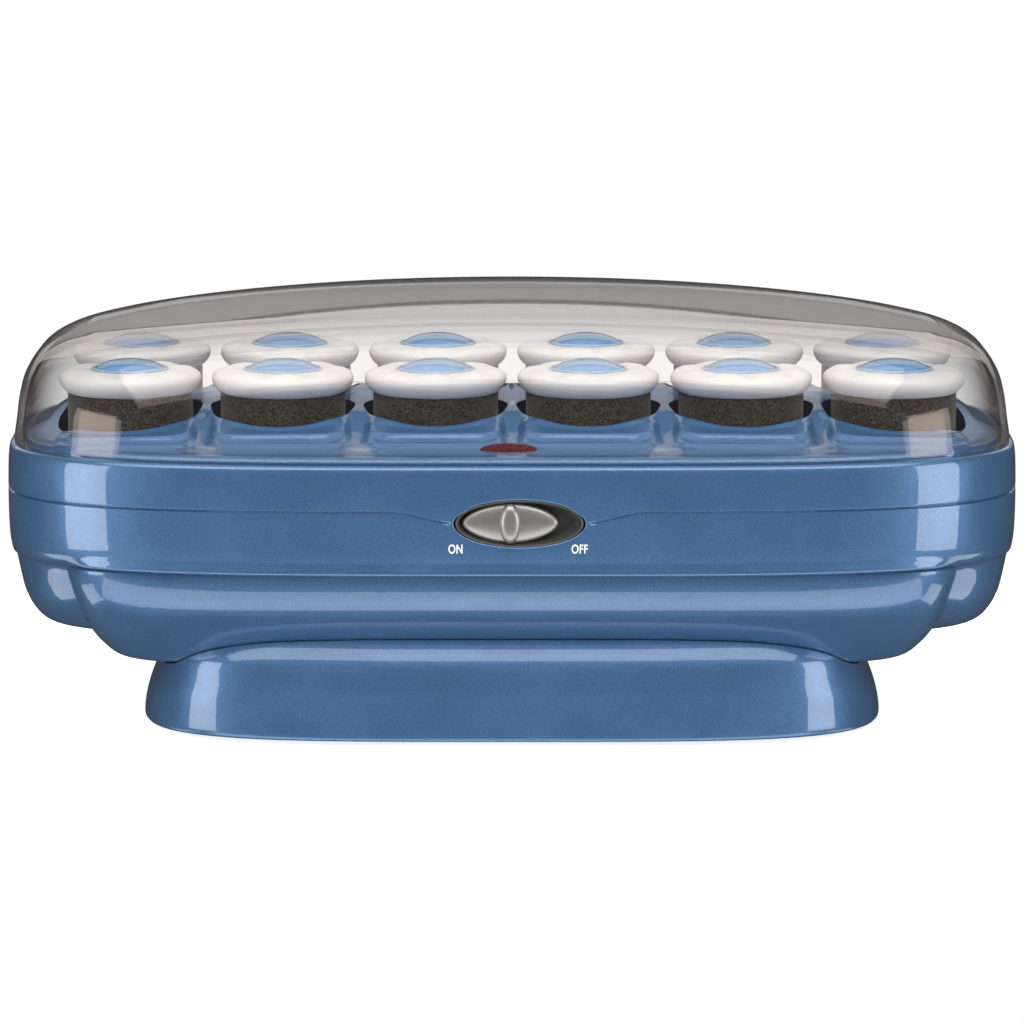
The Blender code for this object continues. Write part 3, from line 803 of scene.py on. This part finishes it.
def open_aperture(bm):
    """Cut the switch's oval out of the front: drop the faces in it, then round off its edge."""
    centre_x = SWITCH.x / MM
    centre_z = SWITCH.z / MM

    def spread(point):
        """Where a point lies from the oval's centre, as a share of the oval's size."""
        return math.hypot(
            (point.x / MM - centre_x) / APERTURE[0], (point.z / MM - centre_z) / APERTURE[1]
        )

    inside = [
        face
        for face in bm.faces
        if face.calc_center_median().y < 0 and spread(face.calc_center_median()) < 1
    ]
    bmesh.ops.delete(bm, geom=inside, context="FACES")
    edges = [
        edge
        for edge in bm.edges
        if edge.is_boundary and edge.verts[0].co.y < 0 and spread(edge.verts[0].co) < 1.6
    ]
    for corner in {v for edge in edges for v in edge.verts}:
        share = spread(corner.co) / (1 + APERTURE_BORDER / APERTURE[1])
        corner.co.x = (centre_x + (corner.co.x / MM - centre_x) / share) * MM
        corner.co.z = (centre_z + (corner.co.z / MM - centre_z) / share) * MM
        corner.co.y = -band_front(corner.co.x / MM, corner.co.z / MM) * MM
    for inward, narrower in APERTURE_EDGE:
        made = bmesh.ops.extrude_edge_only(bm, edges=edges)["geom"]
        edges = [item for item in made if isinstance(item, bmesh.types.BMEdge)]
        for corner in {v for edge in edges for v in edge.verts}:
            corner.co.y += inward * MM
            corner.co.x -= narrower * MM * (corner.co.x / MM - centre_x) / APERTURE[0]
            corner.co.z -= narrower * MM * (corner.co.z / MM - centre_z) / APERTURE[1]


def band_front(x, z):
    """How far in mm the band's face stands in front of the middle at a place on it."""
    heights, widths, depths = BAND_TABLE
    half_width = np.interp(z, heights, widths)
    half_depth = np.interp(z, heights, depths)
    return half_depth * (1 - abs(x / half_width) ** BODY_POWER) ** (1 / BODY_POWER)


def dipped(ring, amount=1.0):
    """Lower the part of a ring on the front side to follow the groove's dip, or a share of it."""
    front = ring[:, 1] < 0
    drop = groove_height(ring[:, 0]) - GROOVE_Z
    ring[:, 2] += np.where(front, amount * drop, 0.0)
    return ring


def under_rows(last):
    """Rows below the lip: a shelf over the belly in the middle, the cheeks' flanks at the ends."""
    run = catmull(CHEEK_OUTLINES, 4)
    rows = []
    shelf_z = last[:, 2].min() - 0.1
    weight = smooth_step(*CHEEK_START, np.abs(last[:, 0]))[:, None]
    for i, (half_width, half_depth, z) in enumerate(run):
        share = i / (len(run) - 1)
        cheek = flat_ring(half_width, half_depth, z, BODY_POWER)
        taper = SHELF_TAPER * share
        shelf = flat_ring(SHELF_OUTLINE[0] - taper, SHELF_OUTLINE[1] - taper, shelf_z, BODY_POWER)
        rows.append(shelf * (1 - weight) + cheek * weight)
    return rows


def make_casing():
    """The belly, with a wall and the hole that the cord's guard stands in."""
    outer = [flat_ring(a, b, z, CASING_POWER) for a, b, z in catmull(CASING_OUTLINES, 6)]
    wall = WALL / MM
    inner = [
        flat_ring(a - wall, b - wall, z + wall, CASING_POWER) for a, b, z in CASING_OUTLINES[2:]
    ]
    mouth = flat_ring(*CASING_MOUTH, CASING_POWER)
    casing = loft("casing_shell", [*inner[::-1], mouth, *outer], PEARL)
    outlet = turned("outlet_cutter", [(CORD_HOLE_RADIUS, -8.0), (CORD_HOLE_RADIUS, 20.0)])
    move(outlet, CORD_FRAME)
    combine(casing, outlet, "DIFFERENCE")
    give(casing, BASE, "pearl_blue", "lower_casing")


def make_pedestal():
    """The foot, with a cradle for the belly and recesses for the rubber feet and the screws."""
    outer = [flat_ring(a, b, z, power) for a, b, z, power in catmull(PEDESTAL_OUTLINES, 6)]
    pedestal = loft("pedestal_shell", outer, PEARL)
    gap = CLEARANCE / MM
    grown = [
        flat_ring(a + gap, b + gap, z - gap, CASING_POWER, 240)
        for a, b, z in catmull(CASING_OUTLINES, 4)
    ]
    combine(pedestal, loft("cradle_cutter", grown), "DIFFERENCE")
    recesses = []
    for number in (1, 2, 3, 4):
        centre = middle(f"rubber_foot_{number}")
        radius = half_size(f"rubber_foot_{number}").x / MM + FOOT_RECESS[0]
        recesses.append((centre, radius, FOOT_RECESS[1]))
    for side in ("left", "right"):
        recesses.append((middle(f"casing_screw_{side}"), *SCREW_RECESS))
    recesses = [
        (centre.x / MM, centre.y / MM, [(radius, -1.0), (radius, top)])
        for centre, radius, top in recesses
    ]
    combine(pedestal, turned_at("recess_cutters", recesses), "DIFFERENCE")
    give(pedestal, BASE, "pearl_blue", "pedestal")


# ---------------------------------------------------------------- deck


def deck_relief(points):
    """Height in mm added to the deck by the tiers and lips around the wells."""
    x = points[:, 0]
    y = points[:, 1]
    relief = np.zeros(len(points))
    fade = smooth_step(*TIER_FADE, y)
    for centre in WELLS:
        dx = np.abs(x - centre.x / MM)
        dy = y - centre.y / MM
        away = np.hypot(dx, dy)
        relief += WELL_LIP * (1 - smooth_step(*WELL_LIP_FADE, away - WELL_RADIUS))
        if centre.y > 0:
            continue
        for half_width, reach, height in TIERS:
            over_x = np.maximum(dx - half_width + TIER_CORNER, 0)
            over_y = np.maximum(-dy - reach + TIER_CORNER, 0)
            beyond = np.hypot(over_x, over_y) - TIER_CORNER
            sideways = over_x / np.maximum(over_x + over_y, 0.001)
            ramp = TIER_RAMP + (TIER_SIDE_RAMP - TIER_RAMP) * sideways
            relief += height * fade * (1 - smooth_step(-1.0, 0.0, beyond / ramp))
    return relief


def make_deck():
    """The top moulding with its wells and the hole for the lamp's lens."""
    rings = [flat_ring(a, b, z, BODY_POWER, DECK_POINTS) for a, b, z in catmull(DECK_OUTLINES, 12)]
    for ring in rings:
        ring[:, 2] += deck_relief(ring)
    under = [flat_ring(a, b, z, BODY_POWER, DECK_POINTS) for a, b, z in DECK_UNDER]
    deck = loft("deck_shell", [*under, *rings], DECK_BLUE)
    wells = [(centre.x / MM, centre.y / MM, WELL_CUT) for centre in WELLS]
    combine(deck, turned_at("well_cutters", wells, count=96), "DIFFERENCE")
    a, b = (half + LENS_GAP for half in LENS_HALF)
    cutter = loft("lens_cutter", [flat_ring(a, b, z, LENS_POWER, 96) for z in (-8.0, 6.0)])
    move(cutter, LENS_FRAME)
    combine(deck, cutter, "DIFFERENCE")
    give(deck, BASE, "gloss_blue", "deck")


def make_lens():
    a, b = LENS_HALF
    rings = [flat_ring(a * wide, b * deep, z, LENS_POWER, 64) for wide, deep, z in LENS_ROWS]
    lens = loft("lens_eye", rings, LENS)
    move(lens, LENS_FRAME)
    give(lens, BASE, "red_lens", "lamp_lens")


# ---------------------------------------------------------------- lid


def crown_height(x):
    """Height of the lid's crown, an arc across its width."""
    return LID_CROWN_Z - (LID_CROWN_RADIUS - np.sqrt(LID_CROWN_RADIUS**2 - x * x))


def lid_rings(wall):
    """Rings of the lid's outer face, or of its inner face one wall in, from the rim upwards."""
    rings = []

    def add(half_width, half_depth, share):
        points = outline(half_width - wall, half_depth - wall, BODY_POWER)
        rise = crown_height(points[:, 0]) - wall - LID_BOTTOM_Z
        rings.append(np.column_stack([points, LID_BOTTOM_Z + share * rise]))

    for across, along, share in catmull(LID_STEPS, 6):
        add(LID_RIM[0] - across, LID_RIM[1] - along, share)
    last_across, last_along, last_share = LID_STEPS[-1]
    for i in range(1, LID_TOP_RINGS):
        size = 1 - i / LID_TOP_RINGS
        half_width = (LID_RIM[0] - last_across) * size
        half_depth = (LID_RIM[1] - last_along) * size
        add(half_width, half_depth, 1 - (1 - last_share) * size * size)
    return rings


def make_lid():
    """The smoked shell, notched for the deck's knuckles, with its own knuckle bars and bores."""
    lid = loft("lid_shell", lid_rings(LID_WALL)[::-1] + lid_rings(0.0), SMOKE)
    near, far = LID_NOTCH
    notches = []
    for x in HINGE_XS:
        notches += [(x - far, x - near), (x + near, x + far)]
    combine(lid, hinge_bars("notch_cutter", KNUCKLE_RADIUS + LID_NOTCH_GAP, notches), "DIFFERENCE")
    spans = [(x - LID_KNUCKLE_REACH, x + LID_KNUCKLE_REACH) for x in HINGE_XS]
    combine(lid, hinge_bars("lid_knuckle_bars", KNUCKLE_RADIUS, spans), "UNION")
    spans = [(x - LID_BORE_REACH, x + LID_BORE_REACH) for x in HINGE_XS]
    combine(lid, hinge_bars("lid_bore_cutter", KNUCKLE_BORE, spans), "DIFFERENCE")
    give(lid, LID, "smoked_clear", "lid")


def hinge_bars(name, radius, spans):
    """Round bars on the hinge's line, in one mesh, each from x_low to x_high in mm."""
    ends = [(0, 0, [(radius, low), (radius, high)]) for low, high in spans]
    return move(turned_at(name, ends, count=40), HINGE_TURN)


def make_hinges():
    """The deck's two knuckles and the pin of each hinge."""
    near, far = BASE_KNUCKLE
    for side, x in zip(("left", "right"), HINGE_XS):
        bm = bmesh.new()
        for low, high in ((x - far, x - near), (x + near, x + far)):
            profile = [
                (KNUCKLE_BORE, low),
                (KNUCKLE_RADIUS - 0.3, low),
                (KNUCKLE_RADIUS, low + 0.3),
                (KNUCKLE_RADIUS, high - 0.3),
                (KNUCKLE_RADIUS - 0.3, high),
                (KNUCKLE_BORE, high),
            ]
            rings = [turned_ring(radius, z, 40) for radius, z in profile]
            skin(bm, rings, closed=True)
        knuckles = add_piece(f"hinge_knuckles_{side}", bm, PEARL)
        move(knuckles, HINGE_TURN)
        give(knuckles, BASE, "pearl_blue")
        pin = [(radius, x + along) for radius, along in PIN_ROWS]
        rod = turned(f"hinge_pin_rod_{side}", pin, STEEL, count=32)
        move(rod, HINGE_TURN)
        give(rod, BASE, "steel", f"hinge_pin_{side}")


# ---------------------------------------------------------------- rollers


def cap_ring(radius, height, ribbed, lift):
    """A ring of the cap, with a share of the ribs' depth cut into it, and lobes that lift it."""
    count = CAP_RIBS * 2
    angles = np.arange(count) * 2 * math.pi / count
    radii = np.full(count, radius)
    radii[::2] -= RIB_DEPTH * ribbed
    z = height + lift * np.abs(np.sin(CAP_LOBES / 2 * angles))
    return np.column_stack([radii * np.cos(angles), radii * np.sin(angles), z])


def make_rollers():
    """Each roller's flocked barrel, cap, dome and the dome's clear rim."""
    for number in range(1, 13):
        name = f"roller_{number:02d}"
        centre = middle(f"{name}_barrel")
        rise = (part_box(f"{name}_barrel")[0].z / MM) - BARREL_BOTTOM_Z
        place = Matrix.Translation((centre.x, centre.y, rise * MM))
        place = place @ Matrix.Rotation(ROLLER_TURN * number, 4, "Z")
        barrel = turned(f"{name}_flock", BARREL_PROFILE, FLOCK, closed=True, count=96)
        cap_rings = [cap_ring(*row) for row in CAP_ROWS]
        cap = loft(f"{name}_cap_shell", cap_rings, CAP, closed=True, sharp=60)
        dome = turned(f"{name}_dome_shell", DOME_PROFILE, DOME)
        rim = turned(f"{name}_dome_rim", DOME_RIM_PROFILE, DOME_EDGE, closed=True)
        for piece in (barrel, cap, dome, rim):
            move(piece, place)
        give(barrel, name, "flock", f"{name}_barrel")
        give(cap, name, "cap_white", f"{name}_cap")
        give(dome, name, "dome_blue", f"{name}_dome")
        give(rim, name, "clear_glass")


# ---------------------------------------------------------------- switch


def stand_at_switch(piece, x):
    """Stand a piece made along +Z in the switch's place, its top facing the front."""
    place = Vector((x, SWITCH_FACE_Y, SWITCH.z))
    return move(piece, Matrix.Translation(place) @ Matrix.Rotation(math.pi / 2, 4, "X"))


def make_bezel():
    """The dark oval recess that the knob slides in."""
    width, height = APERTURE
    rings = [flat_ring(width + grown, height + grown, z, 2.0, 96) for grown, z in BEZEL_ROWS]
    bezel = loft("switch_recess", rings, DARK)
    combine(bezel, block("stem_slot_cutter", *BEZEL_SLOT), "DIFFERENCE")
    stand_at_switch(bezel, SWITCH.x)
    give(bezel, BASE, "dark_plastic", "switch_bezel")


def make_knob():
    """The sliding knob: a pointed oval with a raised grip across it, and its stem."""
    low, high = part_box("power_slider")
    a = (high.x - low.x) / 2 / MM
    b = (high.z - low.z) / 2 / MM
    rings = [flat_ring(a * share, b * share, z, KNOB_POWER, 96) for share, z in KNOB_ROWS]
    knob = loft("power_knob", rings, SATIN)
    grip = loft("grip_ridge", [flat_ring(*row, 2.0, 64) for row in GRIP_ROWS])
    combine(knob, grip, "UNION")
    combine(knob, block("slider_stem", *KNOB_STEM), "UNION")
    stand_at_switch(knob, (low.x + high.x) / 2)
    give(knob, "power_slider", "satin_silver", "power_slider")


def make_labels():
    """The two generic words beside the switch, raised a hair from the band."""
    for word, x in LABELS:
        curve = bpy.data.curves.new(f"label_{word}", "FONT")
        curve.body = word
        curve.size = LABEL_SIZE * MM
        curve.align_x = "CENTER"
        curve.extrude = LABEL_RAISE * MM
        curve.offset = LABEL_WEIGHT * MM
        curve.space_character = 1.05
        text = bpy.data.objects.new(f"label_{word}_text", curve)
        bpy.context.scene.collection.objects.link(text)
        graph = bpy.context.evaluated_depsgraph_get()
        mesh = bpy.data.meshes.new_from_object(text.evaluated_get(graph))
        bpy.data.objects.remove(text, do_unlink=True)
        label = bpy.data.objects.new(f"label_{word}", mesh)
        bpy.context.scene.collection.objects.link(label)
        mesh.materials.clear()
        mesh.materials.append(PRINT)
        squeeze = Matrix.Diagonal((LABEL_NARROWING, 1.0, 1.0, 1.0))
        place = Matrix.Translation(Vector((x, *LABEL_PLACE_YZ)) * MM)
        mesh.transform(place @ Matrix.Rotation(math.pi / 2, 4, "X") @ squeeze)
        give(label, BASE, "cap_white")


# ---------------------------------------------------------------- small parts


def make_bushing():
    """The cord's ribbed guard at the back."""
    profile = list(CORD_GUARD_PROFILE)
    for i in range(CORD_RIBS):
        start = CORD_RIB_START + i * CORD_RIB_PITCH
        radius = 5.9 - i * 0.35
        profile += [(radius - 0.9, start), (radius - 0.9, start + 0.5)]
        profile += [(radius, start + 0.8), (radius, start + 1.5)]
    profile += CORD_GUARD_TIP
    bushing = turned("cord_relief", profile, RUBBER, count=48)
    back_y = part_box("cord_bushing")[1].y
    move(bushing, Matrix.Translation((0, back_y - CORD_GUARD_LENGTH * MM, 0)) @ CORD_TURN)
    give(bushing, BASE, "rubber", "cord_bushing")


def make_feet():
    for number in (1, 2, 3, 4):
        node = f"rubber_foot_{number}"
        centre = middle(node)
        radius = half_size(node).x / MM
        profile = [
            (radius * 0.45, 0.35),
            (radius * 0.5, 0.0),
            (radius - 0.5, 0.0),
            (radius - 0.12, 0.15),
            (radius, 0.5),
            (radius, 1.9),
        ]
        foot = turned(f"foot_pad_{number}", profile, RUBBER)
        move(foot, Matrix.Translation((centre.x, centre.y, 0)))
        give(foot, BASE, "rubber", node)


def make_screws():
    """The two long screws up into the casing, with a cross slot in each head."""
    for side in ("left", "right"):
        node = f"casing_screw_{side}"
        centre = middle(node)
        screw = turned(f"pan_screw_{side}", SCREW_PROFILE, STEEL, count=48)
        for x, y in CROSS_SLOTS:
            combine(screw, block("cross_cutter", (-x, -y, 0.5), (x, y, 2.1)), "DIFFERENCE")
        move(screw, Matrix.Translation((centre.x, centre.y, 0)))
        give(screw, BASE, "steel", node)


def finish_cad_nodes():
    """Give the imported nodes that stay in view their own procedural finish."""
    finishes = {
        "heater_tray": ALUMINIUM,
        "heating_element": STEEL,
        "thermostat": DARK,
        "thermal_fuse": CERAMIC,
        "terminal_block": DARK,
        "switch_body": DARK,
        "neon_lamp": GLASS,
    }
    for node, material in finishes.items():
        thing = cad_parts[node]
        thing.data.materials.clear()
        thing.data.materials.append(material)


# ---------------------------------------------------------------- stage


def area_light(name, place, size, power):
    """A rectangular soft light turned to the set."""
    data = bpy.data.lights.new(name, "AREA")
    data.shape = "RECTANGLE"
    data.size = size[0]
    data.size_y = size[1]
    data.energy = power
    lamp = bpy.data.objects.new(name, data)
    lamp.location = place
    aim = Vector(LIGHTS_AIM) - Vector(place)
    lamp.rotation_euler = aim.to_track_quat("-Z", "Y").to_euler()
    bpy.context.scene.collection.objects.link(lamp)


def make_stage():
    """A pale round table top under the set."""
    bm = bmesh.new()
    bmesh.ops.create_circle(bm, cap_ends=True, radius=FLOOR_RADIUS, segments=128)
    ground = add_piece("floor", bm, None)
    ground.location.z = -0.0005
    ground.visible_glossy = False
    n = Nodes("floor_pale")
    n.colour(n.blend(n.noise(200.0, 2.0), (0.86, 0.86, 0.86), (0.90, 0.90, 0.90)))
    n.rough(n.noise(50.0, 2.0), 0.8, 0.95)
    n.set(Emission_Color=(1, 1, 1, 1), Emission_Strength=0.8)
    ground.data.materials.append(n.material)


def make_lights():
    """Soft boxes all round and cards below the table, in a dim room that is seen as white."""
    for name, place, size, power in LIGHTS:
        area_light(name, place, size, power)
    for side in (-1, 1):
        for name, (x, y, z), size, power in SIDE_LIGHTS:
            area_light(f"{name}_{side}", (side * x, y, z), size, power)
    world = bpy.data.worlds.new("studio")
    world.use_nodes = True
    tree = world.node_tree
    glow = tree.nodes["Background"]
    path = tree.nodes.new("ShaderNodeLightPath")
    level = tree.nodes.new("ShaderNodeMapRange")
    level.inputs["To Min"].default_value = ROOM_LEVEL
    level.inputs["To Max"].default_value = ROOM_REFLECTED
    tree.links.new(path.outputs["Is Glossy Ray"], level.inputs["Value"])
    shown = tree.nodes.new("ShaderNodeMath")
    shown.operation = "MAXIMUM"
    tree.links.new(level.outputs["Result"], shown.inputs[0])
    tree.links.new(path.outputs["Is Camera Ray"], shown.inputs[1])
    glow.inputs["Color"].default_value = (1, 1, 1, 1)
    tree.links.new(shown.outputs["Value"], glow.inputs["Strength"])
    bpy.context.scene.world = world
    bpy.context.scene.view_settings.view_transform = "Standard"


def make_camera():
    """A long lens in front of the set, looking slightly down on it."""
    data = bpy.data.cameras.new("camera")
    data.sensor_width = 36.0
    data.lens = CAMERA_LENS
    camera = bpy.data.objects.new("camera", data)
    camera.location = CAMERA_PLACE
    camera.rotation_euler = (CAMERA_PITCH, 0, 0)
    bpy.context.scene.collection.objects.link(camera)
    bpy.context.scene.camera = camera


# ---------------------------------------------------------------- places from the frame


def middle(node):
    low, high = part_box(node)
    return (low + high) / 2


def half_size(node):
    low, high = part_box(node)
    return (high - low) / 2


BAND_RUN = catmull(BAND_OUTLINES, 8)[::-1]
BAND_TABLE = [np.array([row[i] for row in BAND_RUN]) for i in (2, 0, 1)]
SWITCH = middle("switch_bezel")
WELLS = [middle(f"roller_{number:02d}_barrel") for number in range(1, 13)]
HINGE = middle("hinge_pin_left")
HINGE_XS = [middle(f"hinge_pin_{side}").x / MM for side in ("left", "right")]
HINGE_TURN = Matrix.Translation((0, HINGE.y, HINGE.z)) @ Matrix.Rotation(math.pi / 2, 4, "Y")
LENS_HALF = (8.4, 3.3)
LENS_TILT = math.radians(24.0)
LENS_PLACE = Vector((-1.0, -61.0, 88.7)) * MM
LENS_FRAME = Matrix.Translation(LENS_PLACE) @ Matrix.Rotation(LENS_TILT, 4, "X")
CORD_PLACE = middle("cord_bushing")
CORD_TURN = Matrix.Translation((CORD_PLACE.x, 0, CORD_PLACE.z)) @ Matrix.Rotation(
    -math.pi / 2, 4, "X"
)
CORD_FRAME = Matrix.Translation((0, CORD_PLACE.y, 0)) @ CORD_TURN


make_housing()
make_casing()
make_pedestal()
make_deck()
make_lens()
make_lid()
make_hinges()
make_rollers()
make_bezel()
make_knob()
make_labels()
make_bushing()
make_feet()
make_screws()
finish_cad_nodes()
make_stage()
make_lights()
make_camera()
